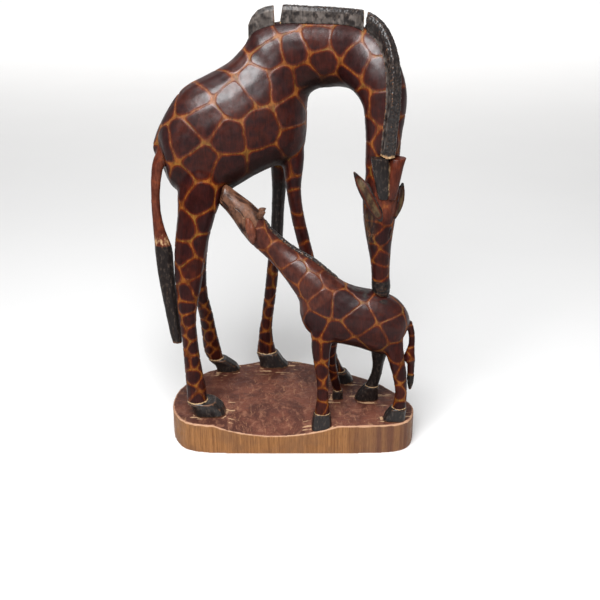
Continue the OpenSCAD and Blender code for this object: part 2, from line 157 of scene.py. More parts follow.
def box_mm(name):
    """The lowest and highest corners of a CAD node, in mm."""
    return [np.array(corner[:]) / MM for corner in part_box(name)]


def spot_on(points, level, way):
    """The place on a skin at a level in mm, straight out from its middle in a direction."""
    way = np.asarray(way, float) / np.linalg.norm(way)
    ring = points[np.abs(points[:, 2] - level) < 1]
    middle = (ring.min(axis=0) + ring.max(axis=0)) / 2
    return middle + way * ((ring - middle) @ way).max()


def arc(middle, radius, facing, half_span):
    """Points of a flat arc through its middle, which bulges towards an angle in degrees."""
    turns = np.radians(facing + half_span * np.linspace(-1, 1, 9))
    bulge = [math.cos(math.radians(facing)), math.sin(math.radians(facing))]
    return [middle + radius * (np.array([math.cos(a), math.sin(a)]) - bulge) for a in turns]


def cad(names):
    """Points in mm, triangles and the owner of each triangle, for some CAD nodes together."""
    points, faces, owner, base = [], [], [], 0
    for i, name in enumerate(names):
        mesh = frame["nodes"][name].data
        mesh.calc_loop_triangles()
        v = np.zeros(len(mesh.vertices) * 3, np.float32)
        f = np.zeros(len(mesh.loop_triangles) * 3, np.int32)
        mesh.vertices.foreach_get("co", v)
        mesh.loop_triangles.foreach_get("vertices", f)
        points.append(v.reshape(-1, 3).astype(float) / MM)
        faces.append(f.reshape(-1, 3) + base)
        owner.append(np.full(len(f) // 3, i))
        base += len(points[-1])
    return np.concatenate(points), np.concatenate(faces), np.concatenate(owner)


def nearest(tree, points):
    """Index of the nearest face, the distance to it, and that face's normal, for each point."""
    found = [tree.find_nearest(p) for p in points.tolist()]
    return (
        np.array([hit[2] for hit in found]),
        np.array([hit[3] for hit in found]),
        np.array([hit[1][:] for hit in found]),
    )


def remesh(points, faces, voxel):
    """One closed skin of even quads round everything that the faces enclose."""
    mesh = bpy.data.meshes.new("source")
    mesh.from_pydata((points * MM).tolist(), [], faces.tolist())
    source = bpy.data.objects.new("source", mesh)
    bpy.context.scene.collection.objects.link(source)
    modifier = source.modifiers.new("skin", "REMESH")
    modifier.mode = "VOXEL"
    modifier.voxel_size = voxel * MM
    graph = bpy.context.evaluated_depsgraph_get()
    result = bpy.data.meshes.new_from_object(source.evaluated_get(graph))
    v = np.zeros(len(result.vertices) * 3, np.float32)
    q = np.zeros(len(result.polygons) * 4, np.int32)
    result.vertices.foreach_get("co", v)
    result.polygons.foreach_get("vertices", q)
    bpy.data.objects.remove(source)
    for used in (mesh, result):
        bpy.data.meshes.remove(used)
    return v.reshape(-1, 3).astype(float) / MM, q.reshape(-1, 4)


# ------------------------------------------------------------------ skins


class Skin:
    """A closed mesh of quads with its neighbours, its CAD labels and its paint."""

    def __init__(self, names, voxel):
        points, faces, owner = cad(names)
        self.names = list(names)
        voxel *= COARSE
        self.voxel = voxel
        self.v, self.q = remesh(points, faces, voxel)
        pairs = np.concatenate([self.q[:, [k, (k + 1) % 4]] for k in range(4)])
        pairs = np.unique(np.sort(pairs, axis=1), axis=0)
        both = np.concatenate([pairs, pairs[:, ::-1]])
        both = both[np.argsort(both[:, 0], kind="stable")]
        self.count = np.bincount(both[:, 0], minlength=len(self.v))
        first = np.cumsum(self.count) - self.count
        self.count = self.count.astype(np.float32)
        rank = np.arange(len(both)) - first[both[:, 0]]
        self.table = np.full((len(self.v), int(self.count.max())), len(self.v))
        self.table[both[:, 0], rank] = both[:, 1]
        tree = BVHTree.FromPolygons(points.tolist(), faces.tolist())
        self.label = owner[nearest(tree, self.v)[0]]
        self.paint = {}

    def mean(self, x):
        """The mean of x over each vertex's neighbours."""
        padded = np.concatenate([x, np.zeros((1,) + x.shape[1:], x.dtype)])
        total = padded[self.table[:, 0]]
        for k in range(1, self.table.shape[1]):
            total = total + padded[self.table[:, k]]
        return total / (self.count if x.ndim == 1 else self.count[:, None])

    def relax(self, x, times, weight=BLUR):
        """x spread over the skin, more where weight is higher."""
        x = x.astype(np.float32)
        w = weight if np.isscalar(weight) else np.asarray(weight, np.float32)
        if not np.isscalar(w) and x.ndim > 1:
            w = w[:, None]
        for _ in range(int(math.ceil(times / COARSE**2))):
            x = x + w * (self.mean(x) - x)
        return x.astype(float)

    def normals(self):
        a, b = self.v[self.q[:, 2]] - self.v[self.q[:, 0]], self.v[self.q[:, 3]] - self.v[self.q[:, 1]]
        face = np.cross(a, b)
        n = np.zeros_like(self.v)
        for axis in range(3):
            for k in range(4):
                n[:, axis] += np.bincount(self.q[:, k], face[:, axis], len(self.v))
        return n / np.maximum(np.linalg.norm(n, axis=1, keepdims=True), 1e-9)

    def is_in(self, *words):
        """1 where the vertex belongs to a node whose name has one of the words, else 0."""
        hits = [any(w in name for w in words) for name in self.names]
        return np.array(hits, float)[self.label]

    def by_part(self, values):
        """A value for each vertex, from the word that its node's name has."""
        return sum(value * self.is_in(word) for word, value in values.items())

    def push(self, distance):
        """Moves the skin along its normals by a distance for each vertex."""
        self.v = self.v + self.normals() * distance[:, None]

    def smooth_facets(self, sigma):
        """Removes the CAD facets with a blur of about sigma mm, then gives back the lost girth."""
        widest = sigma.max()
        times = 2 * (widest * COARSE) ** 2 / (BLUR * self.voxel**2)
        weight = BLUR * self.relax((sigma / widest) ** 2, 8)
        once = self.relax(self.v, times, weight)
        twice = self.relax(once, times, weight)
        self.v = 2 * once - twice

    def fillet(self, threshold, times, where=1.0):
        """Blurs only the sharp valleys, such as where a thigh meets the belly."""
        blurred = self.relax(self.v, 12)
        valley = ((blurred - self.v) * self.normals()).sum(axis=1)
        mask = step(threshold, 2.5 * threshold, valley) * where
        mask = np.clip(self.relax(mask, 14) * 2.2, 0, 1)
        self.v = self.relax(self.v, times, BLUR * mask)

    def shape(self, times=6):
        """How far each vertex stands above its blurred surroundings, in mm. Valleys are below 0."""
        blurred = self.relax(self.v, times)
        return ((self.v - blurred) * self.normals()).sum(axis=1)


def spread_seeds(skin, spacing, seed):
    """Patch centres wherever there is room for one, at the spacing for each vertex."""
    order = np.random.default_rng(seed).permutation(np.flatnonzero(spacing > 0))[:PATCH_TRIES]
    seeds = [skin.v[order[0]]]
    for i in order[1:]:
        gap = np.sqrt(((np.array(seeds) - skin.v[i]) ** 2).sum(axis=1)).min()
        if gap > spacing[i]:
            seeds.append(skin.v[i])
    return np.array(seeds)


def patch_pattern(skin, seeds, line, corner, seed, warp=1.0):
    """Distance to the border between patches, as a share of half the line's width, and a tone per patch."""
    p = skin.v.copy()
    for axis in range(3):
        p[:, axis] += warp * rough_noise(skin.v, 7.0, seed + 10 * axis, 2)
    tree = kdtree.KDTree(len(seeds))
    for i, s in enumerate(seeds):
        tree.insert(s, i)
    tree.balance()
    found = np.array([[hit[1] for hit in tree.find_n(x, 5)] for x in p.tolist()])
    own = seeds[found[:, 0]]
    own_gap = ((p - own) ** 2).sum(axis=1)
    total = np.zeros(len(p))
    for k in range(1, 5):
        other = seeds[found[:, k]]
        apart = np.linalg.norm(other - own, axis=1)
        border = (((p - other) ** 2).sum(axis=1) - own_gap) / (2 * apart)
        total += np.exp(-np.clip(border / corner, -2, 40))
    edge = -corner * np.log(np.maximum(total, 1e-12))
    tones = np.random.default_rng(seed).random(len(seeds))
    return np.clip(edge / line, -1, 6), tones[found[:, 0]]


# ------------------------------------------------------------------ pieces


def make_mesh(name, points, faces, normals, paint):
    """A mesh object in metres with smooth normals and its paint as attributes."""
    mesh = bpy.data.meshes.new(name)
    inside = np.clip(points * MM, np.array(cad_box[0]), np.array(cad_box[1]))
    mesh.from_pydata(inside.tolist(), [], faces)
    mesh.polygons.foreach_set("use_smooth", [True] * len(mesh.polygons))
    for key, values in paint.items():
        attribute = mesh.attributes.new(key, "FLOAT", "POINT")
        attribute.data.foreach_set("value", np.asarray(values, np.float32))
    mesh.update()
    if normals is not None:
        mesh.normals_split_custom_set_from_vertices(normals.tolist())
    piece = bpy.data.objects.new(name, mesh)
    bpy.context.scene.collection.objects.link(piece)
    return piece


def finish_piece(piece, material, node):
    piece.data.materials.append(material)
    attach(piece, "root")
    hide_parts(node)
    return piece


def border_loops(faces):
    """Closed loops of vertices round the holes of an open mesh of quads."""
    edges = np.concatenate([faces[:, [k, (k + 1) % 4]] for k in range(4)])
    known = set(map(tuple, edges.tolist()))
    follow = {}
    for a, b in known:
        if (b, a) not in known:
            follow.setdefault(b, []).append(a)
    loops = []
    while follow:
        start = next(iter(follow))
        loop, here = [], start
        while here in follow:
            loop.append(here)
            onward = follow[here]
            there = onward.pop()
            if not onward:
                del follow[here]
            here = there
            if here == start:
                break
        if len(loop) > 2:
            loops.append(loop)
    return loops


def cut_into_pieces(skin, materials, slots):
    """One closed piece for each CAD node. Neighbours share their cut faces, so no seam shows."""
    normals = skin.normals()
    share = np.eye(len(skin.names))[skin.label]
    for i in range(share.shape[1]):
        share[:, i] = skin.relax(share[:, i], 10)
    face_share = share[skin.q].sum(axis=1)
    owner = face_share.argmax(axis=1)
    pieces = {}
    for i, name in enumerate(skin.names):
        faces = skin.q[owner == i]
        if not len(faces):
            continue
        used = np.unique(faces)
        index = np.full(len(skin.v), -1)
        index[used] = np.arange(len(used))
        local = index[faces]
        points, ns = [skin.v[used]], [normals[used]]
        paint = {key: [values[used]] for key, values in skin.paint.items()}
        caps, extra = [], len(used)
        for loop in border_loops(local):
            ring = skin.v[used][loop]
            middle = ring.mean(axis=0)
            points.append(middle[None])
            ns.append(np.array([[0.0, 0.0, 1.0]]))
            for key in paint:
                paint[key].append(paint[key][0][loop[:1]])
            caps += [(loop[k], loop[(k + 1) % len(loop)], extra) for k in range(len(loop))]
            extra += 1
        joined = {key: np.concatenate(parts) for key, parts in paint.items()}
        piece = make_mesh(
            name, np.concatenate(points), local.tolist() + caps, np.concatenate(ns), joined
        )
        pieces[name] = finish_piece(piece, materials[slots[name]], name)
    return pieces


# ------------------------------------------------------------------ materials


class Graph:
    """Short names for the shader nodes that every wood here is made of."""

    def __init__(self, name):
        self.material = bpy.data.materials.new(name)
        self.material.use_nodes = True
        self.tree = self.material.node_tree
        self.tree.nodes.clear()
        self.place = self.node("ShaderNodeTexCoord").outputs["Object"]

    def node(self, kind, **values):
        made = self.tree.nodes.new(kind)
        for key, value in values.items():
            setattr(made, key, value)
        return made

    def put(self, socket, value):
        if isinstance(value, bpy.types.NodeSocket):
            self.tree.links.new(value, socket)
        else:
            socket.default_value = value

    def paint(self, key):
        return self.node("ShaderNodeAttribute", attribute_name=key).outputs["Fac"]

    def math(self, operation, a, b=0.0):
        made = self.node("ShaderNodeMath", operation=operation)
        self.put(made.inputs[0], a)
        self.put(made.inputs[1], b)
        return made.outputs[0]

    def band(self, value, low, high, to_low=0.0, to_high=1.0):
        """value mapped smoothly from low..high to to_low..to_high."""
        made = self.node("ShaderNodeMapRange", interpolation_type="SMOOTHSTEP")
        self.put(made.inputs["Value"], value)
        for key, number in (("From Min", low), ("From Max", high), ("To Min", to_low), ("To Max", to_high)):
            made.inputs[key].default_value = number
        return made.outputs["Result"]

    def mix(self, share, a, b):
        made = self.node("ShaderNodeMix", data_type="RGBA")
        self.put(made.inputs["Factor"], share)
        self.put(made.inputs["A"], rgba(a))
        self.put(made.inputs["B"], rgba(b))
        return made.outputs["Result"]

    def tint(self, colour, amount):
        """The colour made lighter or darker by a value round 1."""
        made = self.node("ShaderNodeHueSaturation")
        self.put(made.inputs["Color"], colour)
        self.put(made.inputs["Value"], amount)
        return made.outputs["Color"]

    def noise(self, size_mm, detail=3.0, stretch=(1, 1, 1), roughness=0.55, distortion=0.0):
        """Noise whose bumps are about size_mm across, longer along an axis by its stretch."""
        scaled = self.node("ShaderNodeMapping", vector_type="POINT")
        self.put(scaled.inputs["Vector"], self.place)
        scaled.inputs["Scale"].default_value = [1 / (size_mm * MM * s) for s in stretch]
        made = self.node("ShaderNodeTexNoise")
        self.put(made.inputs["Vector"], scaled.outputs["Vector"])
        made.inputs["Scale"].default_value = 1.0
        made.inputs["Detail"].default_value = detail
        made.inputs["Roughness"].default_value = roughness
        made.inputs["Distortion"].default_value = distortion
        return made.outputs["Fac"]

    def output(self, colour, roughness, height, depth_mm, specular=0.5):
        bump = self.node("ShaderNodeBump")
        bump.inputs["Strength"].default_value = 1.0
        bump.inputs["Distance"].default_value = depth_mm * MM
        self.put(bump.inputs["Height"], height)
        shader = self.node("ShaderNodeBsdfPrincipled")
        self.put(shader.inputs["Base Color"], colour)
        self.put(shader.inputs["Roughness"], roughness)
        self.put(shader.inputs["Normal"], bump.outputs["Normal"])
        self.put(shader.inputs["Specular IOR Level"], specular)
        end = self.node("ShaderNodeOutputMaterial")
        self.put(end.inputs["Surface"], shader.outputs["BSDF"])
        return self.material


def rgba(colour):
    """Display red, green and blue (0-255) as the linear colour that a socket takes."""
    if isinstance(colour, bpy.types.NodeSocket):
        return colour
    linear = [((c / 255 + 0.055) / 1.055) ** 2.4 if c > 10 else c / 255 / 12.92 for c in colour]
    return (*linear, 1.0)


# How long the bumps of wood grain are along the log, which stands upright
GRAIN = (1, 1, 14)


# Colours that all the animals' woods share, some as a darker and a lighter one
BLACK_STAIN = (30, 25, 24), (66, 56, 50)
SCRAPED_GOLD = (112, 84, 34)
REDDISH_WOOD = (88, 42, 30), (116, 62, 44)
# Painted shade that draws the undersides of the bodies near black
UNDERSIDE_PAINTED_SHADE = (20, 10, 9), (34, 18, 13)
EAR_HOLLOW = (46, 34, 25), (80, 66, 44)
# Edge wear, partly painted highlight: convex edges drawn lighter
EDGE_WEAR_AND_HIGHLIGHT = (132, 88, 58)
# Painted shade: valleys and creases drawn near black
CREVICE_SHADE = (18, 11, 9)
BARE_WOOD = (150, 112, 76), (196, 165, 124)


def animal_wood(name, patch, patch_deep, rim, line, line_deep, gloss):
    """Stained patches that redden towards scraped lines, with black stain, edges lightened by wear and
    painted highlight, and painted shade on undersides and in creases.
    """
    g = Graph(name)
    grain = g.noise(0.9, 4, GRAIN, 0.6)
    fibre = g.noise(0.35, 2, (1, 1, 20), 0.7)
    cloud = g.noise(9, 3)
    blotch = g.noise(4, 4, (1, 1, 1.6))
    fleck = g.noise(1.6, 3, (1, 1, 2))
    centred = g.math("SUBTRACT", fleck, 0.5)
    ragged = g.math("MULTIPLY", g.math("SUBTRACT", g.noise(1.1, 4, (1, 1, 2)), 0.5), 2.2)
    edge = g.math("ADD", g.paint("edge"), ragged)

    stain = g.mix(g.paint("tone"), patch, patch_deep)
    stain = g.mix(g.band(cloud, 0.38, 0.68), stain, patch_deep)
    stain = g.mix(g.band(edge, 1.0, 4.2), rim, stain)
    stain = g.tint(stain, g.band(blotch, 0.3, 0.7, 0.75, 1.25))
    stain = g.tint(stain, g.band(grain, 0.25, 0.75, 0.74, 1.28))
    scraped = g.mix(g.band(blotch, 0.38, 0.62), line_deep, line)
    scraped = g.mix(g.band(g.noise(7, 3), 0.5, 0.68, 0, 0.6), scraped, SCRAPED_GOLD)
    scraped = g.tint(scraped, g.band(grain, 0.25, 0.75, 0.7, 1.3))
    colour = g.mix(g.band(edge, 0.3, 1.3), scraped, stain)

    warm = g.mix(g.band(blotch, 0.35, 0.65), *REDDISH_WOOD)
    warm = g.tint(warm, g.band(grain, 0.25, 0.75, 0.75, 1.25))
    colour = g.mix(g.paint("warm"), colour, warm)
    fine_tint = g.band(grain, 0.28, 0.72, 0.76, 1.22)
    # Painted shade on the undersides
    shade = g.tint(g.mix(g.band(cloud, 0.4, 0.65), *UNDERSIDE_PAINTED_SHADE), fine_tint)
    colour = g.mix(g.paint("underside_shade"), colour, shade)
    hollow_tint = g.tint(g.mix(g.band(blotch, 0.4, 0.6), *EAR_HOLLOW), fine_tint)
    colour = g.mix(g.paint("inner"), colour, hollow_tint)
    soot = g.tint(g.mix(g.band(fleck, 0.5, 0.75), *BLACK_STAIN), fine_tint)
    is_black = g.band(g.math("ADD", g.paint("dark"), g.math("MULTIPLY", ragged, 0.12)), 0.22, 0.78)
    colour = g.mix(is_black, colour, soot)

    # Convex edges are lightened as wear and painted highlight, and valleys are darkened as painted shade
    convexity = g.math("ADD", g.paint("shape"), g.math("MULTIPLY", centred, 0.12))
    colour = g.mix(g.band(convexity, 0.08, 0.24, 0, 0.5), colour, EDGE_WEAR_AND_HIGHLIGHT)
    colour = g.mix(g.band(convexity, -0.05, -0.2, 0, 0.6), colour, CREVICE_SHADE)
    bare = g.math("ADD", g.paint("raw"), g.math("MULTIPLY", centred, 0.9))
    wood = g.mix(g.band(grain, 0.3, 0.7), *BARE_WOOD)
    colour = g.mix(g.band(bare, 0.42, 0.78), colour, wood)

    rough = g.band(g.noise(5, 4), 0.3, 0.7, gloss - 0.05, gloss + 0.09)
    rough = g.math("ADD", rough, g.band(edge, 1.3, 0.4, 0, 0.16))
    rough = g.math("ADD", rough, g.band(bare, 0.42, 0.78, 0, 0.25))
    height = g.math("ADD", g.math("MULTIPLY", grain, 0.6), g.math("MULTIPLY", fibre, 0.4))
    # Backs and necks shine more than legs and undersides
    shine = g.band(g.paint("polish"), 0, 1, 0.1, 0.5)
    return g.output(colour, rough, height, 0.07, specular=shine)


SAWN_SIDE = (118, 76, 42), (156, 108, 64)
RIGHT_END_PAINTED_SHADE = (122, 84, 56), (92, 58, 46)
# Painted shade for the plinth's right end, away from the key light
SIDE_STREAK = (104, 62, 34)
SIDE_CLOUD = (116, 80, 54)
TOP_STAIN = (104, 60, 46), (72, 40, 32)
TOP_RUBBED = (132, 88, 68)
TOP_SCRATCH = (166, 120, 88)
TOP_FAR_RIM = (62, 28, 20)
TOP_BARE = (150, 108, 74), (206, 172, 136)
# Edge wear, partly painted highlight: the plinth's convex edges drawn lighter
PLINTH_EDGE_WEAR_AND_HIGHLIGHT = (196, 150, 120)
# Painted shade: the plinth's valleys drawn darker
PLINTH_CREVICE_SHADE = (48, 28, 20)


def plinth_wood():
    """Sawn golden sides with upright grain, and a stained top with scraped bare streaks."""
    g = Graph("plinth_wood")
    grain = g.noise(0.9, 4, (1, 1, 40), 0.65)
    broad = g.noise(6, 3, (1, 1, 30), 0.6)
    pore = g.noise(0.4, 2, (1, 1, 16), 0.7)
    cloud = g.noise(14, 4)
    fleck = g.noise(1.8, 4, (2.4, 1, 1))
    side = g.mix(g.band(grain, 0.3, 0.7), *SAWN_SIDE)
    side = g.mix(g.band(broad, 0.5, 0.7, 0, 0.4), side, SIDE_STREAK)
    side = g.mix(g.band(cloud, 0.42, 0.7, 0, 0.6), side, SIDE_CLOUD)
    # Painted shade: the right end of the plinth is drawn darker
    side = g.mix(g.paint("right"), side, g.mix(g.band(broad, 0.4, 0.6), *RIGHT_END_PAINTED_SHADE))
    side = g.tint(side, g.band(pore, 0.25, 0.6, 0.75, 1.08))
    top = g.mix(g.band(cloud, 0.35, 0.65), *TOP_STAIN)
    top = g.mix(g.band(g.noise(4, 4, (1.3, 1.6, 1), 0.6, 0.8), 0.46, 0.7, 0, 0.7), top, TOP_RUBBED)
    top = g.mix(g.band(g.noise(2.6, 4, (1, 4, 1), 0.6, 1.2), 0.58, 0.7, 0, 0.5), top, TOP_SCRATCH)
    top = g.tint(top, g.band(g.noise(0.8, 3), 0.3, 0.7, 0.86, 1.14))
    top = g.mix(g.paint("rim"), top, TOP_FAR_RIM)
    stained = g.math("ADD", g.paint("stain"), g.math("MULTIPLY", g.math("SUBTRACT", fleck, 0.5), 0.5))
    colour = g.mix(g.band(stained, 0.4, 0.6), side, top)
    bare = g.math("ADD", g.paint("raw"), g.math("MULTIPLY", g.math("SUBTRACT", fleck, 0.5), 0.9))
    colour = g.mix(g.band(bare, 0.42, 0.72, 0, 0.85), colour, g.mix(grain, *TOP_BARE))
    # Convex edges are lightened as wear and painted highlight, and valleys are darkened as painted shade
    convexity = g.math("ADD", g.paint("shape"), g.math("MULTIPLY", g.math("SUBTRACT", fleck, 0.5), 0.2))
    colour = g.mix(g.band(convexity, 0.12, 0.3, 0, 0.6), colour, PLINTH_EDGE_WEAR_AND_HIGHLIGHT)
    colour = g.mix(g.band(convexity, -0.06, -0.25, 0, 0.6), colour, PLINTH_CREVICE_SHADE)
    rough = g.band(g.noise(4, 4), 0.3, 0.7, 0.46, 0.64)
    height = g.math("ADD", g.math("MULTIPLY", grain, 0.6), g.math("MULTIPLY", pore, 0.4))
    return g.output(colour, rough, height, 0.16, specular=0.2)


materials = {
    "patched_wood": animal_wood(
        "patched_wood", (56, 18, 9), (36, 12, 12), (80, 28, 7), (124, 70, 24), (84, 40, 11), 0.34
    ),
    # Its grey base colours are a painted highlight: black stain drawn grey where overhead light catches it,
    # showing on the manes
    "black_stained_wood": animal_wood(
        "black_stained_wood", (116, 107, 102), (84, 77, 73), (84, 74, 66), (120, 76, 40), (84, 52, 30), 0.32
    ),
    "calf_head_wood": animal_wood(
        "calf_head_wood", (104, 70, 52), (40, 23, 18), (84, 54, 36), (140, 98, 64), (100, 64, 42), 0.32
    ),
    "plinth_wood": plinth_wood(),
}
slots = {row["node"]: row["material_slot"] for row in frame["record"]["subparts"]}

ALL = list(frame["nodes"])
FINE_ENDS = ("_mane", "_ear", "_horn", "_horns")
fine_nodes = [n for n in ALL if n.endswith(FINE_ENDS)]
mother_nodes = [n for n in ALL if n.startswith("mother") and n not in fine_nodes]
calf_nodes = [n for n in ALL if n.startswith("calf") and n not in fine_nodes]

# ------------------------------------------------------------------ the mother

mother = Skin(mother_nodes, MOTHER_VOXEL)
height = mother.v[:, 2] - TOP
sigma = mother.by_part({"torso": 2.4, "neck": 1.9, "head": 1.3, "hoof": 0.6, "tail": 0.8})
sigma += (0.9 + 1.5 * step(112, 158, height)) * mother.is_in("leg")
mother.smooth_facets(sigma)
mother.fillet(0.05, 50, 1 - mother.is_in("hoof"))
height = mother.v[:, 2] - TOP
normal = mother.normals()

# Patches are small at the hooves and grow up the legs
leg_gap = 6.8 + 2.4 * step(60, 85, height) + 5.4 * step(90, 130, height)
spacing = mother.by_part({"torso": 17.0, "neck": 15.0, "head": 8.5, "tail": 11.0})
spacing += leg_gap * mother.is_in("leg")
seeds = spread_seeds(mother, spacing, 11)
typical_gap = 15
size = mother.relax(spacing, 12) / typical_gap
edge, tone = patch_pattern(mother, seeds, 0.32 + 0.14 * size, 0.5 + 0.7 * size, 21)
head, tail = mother.relax(mother.is_in("head"), 6), mother.relax(mother.is_in("tail"), 4)
edge += 0.5 * rough_noise(mother.v, 8.0, 25) + 0.6 * head + 0.9 * tail

hoof = mother.relax(mother.is_in("hoof"), 3)
groove = 4 * hoof * (1 - hoof)
# Painted shade: where the torso and neck face down, the colour goes near black
underside = step(0.15, 0.65, -normal[:, 2])
underside_shade = mother.relax(underside * mother.is_in("torso", "neck"), 10)
polish = mother.relax(mother.is_in("torso", "neck") * step(-0.35, 0.5, normal[:, 2]), 10) + 0.6 * hoof
# The far fore leg is drawn near black above the knee: partly a black stain band, partly painted shade of
# the far side
far_fore_stain_and_shade = mother.is_in("far_fore_leg") * step(100, 112, height) * (1 - step(150, 165, height))
muzzle = mother.is_in("head") * (1 - step(102, 105, height))
tuft = mother.relax(mother.is_in("tuft"), 5)
dark = np.clip(hoof + tuft + mother.relax(0.75 * far_fore_stain_and_shade, 6) + mother.relax(muzzle, 2), 0, 1)

# The face: almond eyes, nostrils, a mouth and streaked cheeks, at shares of the head's height
p = mother.v
skull = p[mother.is_in("head") > 0]
chin, crown = [corner[2] for corner in box_mm("mother_head")]
eye_level, nostril_level, mouth_level = [chin + s * (crown - chin) for s in (0.5, 0.1, 0.05)]
eyes = []
nostrils = []
for side in (-1, 1):
    spot = spot_on(skull, eye_level, (0.75 * side, -0.65, 0))
    along, across = (-0.15 * side, 0, 1), (0.75, 0.65 * side, 0)
    eyes.append(eye(p, spot, along, across, length=3.4, width=1.7))
    nostrils.append(spot_on(skull, nostril_level, (0.42 * side, -0.91, 0)))
eyeball = sum(1 - step(0.4, 1.0, e) for e in eyes)
eyelid = sum(hollow(e - 1.25, 0.28) for e in eyes)
nostril = sum(hollow(np.linalg.norm(p - spot, axis=1), 1.2) for spot in nostrils)
mouth = hollow(p[:, 2] - mouth_level, 0.6) * head * step(-22, -26, p[:, 1])
cheek = head * step(128, 134, height) * step(158, 150, height) * step(58, 53, p[:, 0])
streak = cheek * step(-0.1, 0.4, lattice_noise(p, (1.6, 1.6, 9.0), 26))
forehead = head * step(146, 154, height) * step(-26, -32, p[:, 1]) * step(52, 56, p[:, 0])

carve = -0.26 * (1 - step(0.3, 1.5, edge)) * (1 - underside_shade) * (1 - dark)
carve += 0.14 * rough_noise(p, 9.0, 31) - 0.35 * groove
carve += 0.05 * rough_noise(p, (2.2, 2.2, 9.0), 41) + 0.12 * tuft * lattice_noise(p, (1.4, 1.4, 9.0), 56)
carve += 0.35 * eyeball - 0.4 * eyelid - 0.8 * nostril - 0.35 * mouth - 0.25 * streak
mother.push(carve)
# The soles sink a little into the plinth, so that no gap shows under them
sole = step(0.6, 0.1, mother.v[:, 2] - TOP) * mother.is_in("hoof")
mother.v[:, 2] -= 0.4 * sole
tail_end = mother.is_in("tail") * (1 - step(122, 142, height)) * (1 - tuft)
raw = 0.85 * groove + mother.relax(tail_end * 0.6, 10) + 0.5 * eyelid
mother.paint = {
    "edge": edge, "tone": tone, "underside_shade": underside_shade, "dark": np.clip(dark + eyeball + 0.6 * streak, 0, 1),
    "raw": np.clip(raw, 0, 1), "shape": mother.shape(),
    "warm": np.clip(0.55 * tail + 0.55 * forehead, 0, 1), "inner": 0.5 * cheek * (1 - streak),
    "polish": polish,
}
cut_into_pieces(mother, materials, slots)

# ------------------------------------------------------------------ the calf

calf = Skin(calf_nodes, CALF_VOXEL)
height = calf.v[:, 2] - TOP
sigma = calf.by_part({"torso": 1.8, "neck": 1.2, "head": 0.8, "hoof": 0.5, "tail": 0.5})
sigma += (0.6 + 1.0 * step(45, 65, height)) * calf.is_in("leg")
calf.smooth_facets(sigma)
calf.fillet(0.04, 50, 1 - calf.is_in("hoof"))
height = calf.v[:, 2] - TOP
normal = calf.normals()
spacing = calf.by_part({"torso": 16.0, "neck": 12.0, "head": 9.0, "tail": 8.0})
spacing += (8.0 + 4.0 * step(45, 65, height)) * calf.is_in("leg")
seeds = spread_seeds(calf, spacing, 12)
edge, tone = patch_pattern(calf, seeds, 0.36, 0.9, 22, 0.8)
edge += 0.5 * rough_noise(calf.v, 6.0, 27)
hoof = calf.relax(calf.is_in("hoof"), 3)
groove = 4 * hoof * (1 - hoof)
# Painted shade: where the calf's torso faces down, the colour goes near black
underside = step(0.4, 0.8, -normal[:, 2])
underside_shade = calf.relax(underside * calf.is_in("torso"), 8)
polish = calf.relax(calf.is_in("torso", "neck", "head") * step(-0.35, 0.5, normal[:, 2]), 8) + 0.6 * hoof
# Painted shade: the calf's far hind leg is drawn dark low down
dark = calf.relax(calf.is_in("far_hind_leg") * (1 - step(50, 60, height)), 4)
saddle = calf.is_in("torso") * step(0.55, 0.85, normal[:, 2])
saddle *= step(0.05, 0.5, lattice_noise(calf.v, 7.0, 28) + 0.4 * lattice_noise(calf.v, 2.5, 29))
dark = np.clip(hoof + dark + calf.relax(calf.is_in("tuft"), 4) + 0.8 * calf.relax(saddle, 2), 0, 1)

# The head slants up to the muzzle at 45 degrees, and its features follow that slant: long
# cuts, the line of the lips and a closed crescent eye half way along. They are drawn in side
# view, at shares of the head's box.
p = calf.v
head = calf.relax(calf.is_in("head"), 5)
cuts = head * step(0.15, 0.5, lattice_noise(turned(p, (1, 0, -1)), (1.5, 1.5, 15.0), 33))
side_view = p[:, [0, 2]]
corner, far_corner = [spot[[0, 2]] for spot in box_mm("calf_head")]
head_size = far_corner - corner
flank = head * step(0.15, 0.5, np.abs(normal[:, 1]))
eye_middle = corner + head_size * (0.5, 0.6)
crescent = line_gap(side_view, arc(eye_middle, radius=12, facing=45, half_span=20))
lid = flank * hollow(crescent - 0.6, 0.5)
lash = flank * hollow(crescent, 0.5)
lip_start = corner + head_size * (0, 0.8)
lip_run = np.array([6, -6])
mouth_line = [lip_start, lip_start + lip_run]
lips = flank * hollow(line_gap(side_view, mouth_line), 0.6)

carve = -0.2 * (1 - step(0.3, 1.5, edge)) * (1 - underside_shade) * (1 - dark) * (1 - head)
carve += 0.1 * rough_noise(p, 6.0, 32) - 0.25 * groove
carve += -0.22 * cuts + 0.25 * lid - 0.45 * lash - 0.4 * lips
calf.push(carve)
sole = step(0.6, 0.1, calf.v[:, 2] - TOP) * calf.is_in("hoof")
calf.v[:, 2] -= 0.3 * sole
calf.paint = {
    "edge": edge + 4 * head, "tone": np.clip(tone * (1 - head) + 0.85 * cuts, 0, 1), "underside_shade": underside_shade,
    "dark": np.clip(dark + 0.7 * lips + 0.5 * lash, 0, 1), "raw": np.clip(0.8 * groove + 0.45 * lid, 0, 1),
    "shape": calf.shape(), "warm": 0.25 * calf.relax(calf.is_in("neck"), 4), "inner": np.zeros(len(p)),
    "polish": 0.7 * polish,
}
cut_into_pieces(calf, materials, slots)

# ------------------------------------------------------------------ manes, ears, horns and tufts


def tree_of(*skins):
    points, faces, base = [], [], 0
    for s in skins:
        points += s.v.tolist()
        faces += (s.q + base).tolist()
        base += len(s.v)
    return BVHTree.FromPolygons(points, faces)


